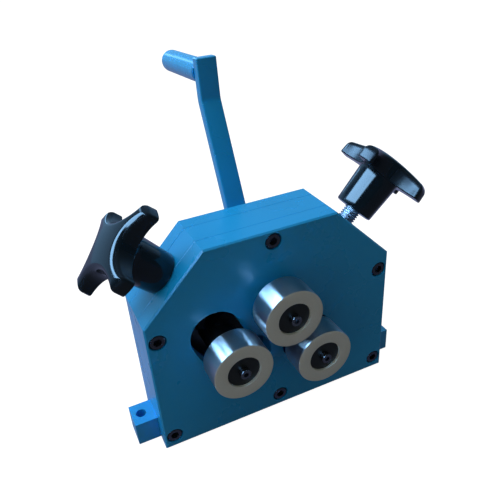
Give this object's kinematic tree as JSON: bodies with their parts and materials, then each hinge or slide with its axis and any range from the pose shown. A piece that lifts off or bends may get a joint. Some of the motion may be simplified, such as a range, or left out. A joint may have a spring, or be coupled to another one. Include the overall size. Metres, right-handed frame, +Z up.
{
  "type": "ring roller",
  "caption": "Hand-cranked bench ring roller: a geared drive roller and side rollers on swing arms set by corner hand screws, in a painted plate housing.",
  "frame": {"origin": "on the base plane, midway between the bolt holes of the foot lugs", "axes": "+X to the right seen from the roller side, +Y away from the rollers towards the crank, +Z up"},
  "size_m": [0.239, 0.196, 0.231],
  "materials": {
    "blue_paint": "semi-gloss enamel",
    "bright_steel": "turned and zinc plated",
    "ground_steel": "ground",
    "black_steel": "black oxide",
    "bronze": "bored and oiled",
    "black_plastic": "moulded, polished"
  },
  "bodies": {
    "housing": {"front_plate": "blue_paint", "middle_frame": "blue_paint", "rear_plate": "blue_paint", "plate_screws": "black_steel", "dowel_pins": "bright_steel", "front_sleeve": "bronze", "rear_bush": "bronze"},
    "crank": {"drive_shaft": "bright_steel", "drive_gear": "bright_steel", "drive_gear_key": "bright_steel", "drive_gear_clip": "black_steel", "drive_roller": "ground_steel", "drive_roller_key": "bright_steel", "drive_disc": "black_steel", "drive_disc_screw": "black_steel", "crank_spacer": "bright_steel", "crank_arm": "blue_paint", "crank_key": "bright_steel", "crank_handle": "blue_paint", "crank_washer": "bright_steel", "crank_nut": "bright_steel"},
    "left_arm": {"left_swing_arm": "black_steel"},
    "left_float": {"left_bush": "bronze"},
    "left_spindle": {"left_shaft": "bright_steel", "left_gear": "bright_steel", "left_gear_key": "bright_steel", "left_gear_clip": "black_steel", "left_roller": "ground_steel", "left_roller_key": "bright_steel", "left_disc": "black_steel", "left_disc_screw": "black_steel"},
    "left_slide": {"left_shoe": "black_steel", "left_shoe_pin": "bright_steel"},
    "left_screw": {"left_stud": "bright_steel", "left_knob": "black_plastic"},
    "right_arm": {"right_swing_arm": "black_steel"},
    "right_float": {"right_bush": "bronze"},
    "right_spindle": {"right_shaft": "bright_steel", "right_gear": "bright_steel", "right_gear_key": "bright_steel", "right_gear_clip": "black_steel", "right_roller": "ground_steel", "right_roller_key": "bright_steel", "right_disc": "black_steel", "right_disc_screw": "black_steel"},
    "right_slide": {"right_shoe": "black_steel", "right_shoe_pin": "bright_steel"},
    "right_screw": {"right_stud": "bright_steel", "right_knob": "black_plastic"}
  },
  "joints": [
    {"name": "crank_turn", "type": "hinge", "parent": "housing", "child": "crank", "pos_m": [0, 0, 0.094], "axis": [0, 1, 0], "continuous": true},
    {"name": "left_screw_travel", "type": "slide", "parent": "housing", "child": "left_slide", "axis": [-0.7071, 0, 0.7071], "range_m": [0, 0.0092]},
    {"name": "left_knob_turn", "type": "hinge", "parent": "left_slide", "child": "left_screw", "pos_m": [-0.0665, 0, 0.123], "axis": [-0.7071, 0, 0.7071], "range_deg": [0, 1890]},
    {"name": "left_arm_swing", "type": "hinge", "parent": "housing", "child": "left_arm", "pos_m": [0, 0, 0.094], "axis": [0, 1, 0], "range_deg": [0, 19.87]},
    {"name": "left_bush_float", "type": "hinge", "parent": "left_arm", "child": "left_float", "pos_m": [-0.03594, 0, 0.06692], "axis": [0, 1, 0], "range_deg": [0, 19.87]},
    {"name": "left_roller_spin", "type": "hinge", "parent": "left_float", "child": "left_spindle", "pos_m": [-0.03594, 0, 0.06692], "axis": [0, 1, 0], "continuous": true},
    {"name": "right_screw_travel", "type": "slide", "parent": "housing", "child": "right_slide", "axis": [0.7071, 0, 0.7071], "range_m": [-0.00421, 0.00421]},
    {"name": "right_knob_turn", "type": "hinge", "parent": "right_slide", "child": "right_screw", "pos_m": [0.0665, 0, 0.123], "axis": [0.7071, 0, 0.7071], "range_deg": [-864, 864]},
    {"name": "right_arm_swing", "type": "hinge", "parent": "housing", "child": "right_arm", "pos_m": [0, 0, 0.094], "axis": [0, 1, 0], "range_deg": [-9.1, 9.1]},
    {"name": "right_bush_float", "type": "hinge", "parent": "right_arm", "child": "right_float", "pos_m": [0.02182, 0, 0.05464], "axis": [0, 1, 0], "range_deg": [-9.1, 9.1]},
    {"name": "right_roller_spin", "type": "hinge", "parent": "right_float", "child": "right_spindle", "pos_m": [0.02182, 0, 0.05464], "axis": [0, 1, 0], "continuous": true}
  ],
  "couplings": [
    {"joint": "left_screw_travel", "follows": "left_knob_turn", "m_per_rad": 0.00027852},
    {"joint": "left_arm_swing", "follows": "left_knob_turn", "ratio": 0.010504},
    {"joint": "left_bush_float", "follows": "left_knob_turn", "ratio": 0.010504},
    {"joint": "left_roller_spin", "follows": "crank_turn", "ratio": -1},
    {"joint": "right_screw_travel", "follows": "right_knob_turn", "m_per_rad": 0.00027852},
    {"joint": "right_arm_swing", "follows": "right_knob_turn", "ratio": -0.010504},
    {"joint": "right_bush_float", "follows": "right_knob_turn", "ratio": -0.010504},
    {"joint": "right_roller_spin", "follows": "crank_turn", "ratio": -1}
  ]
}
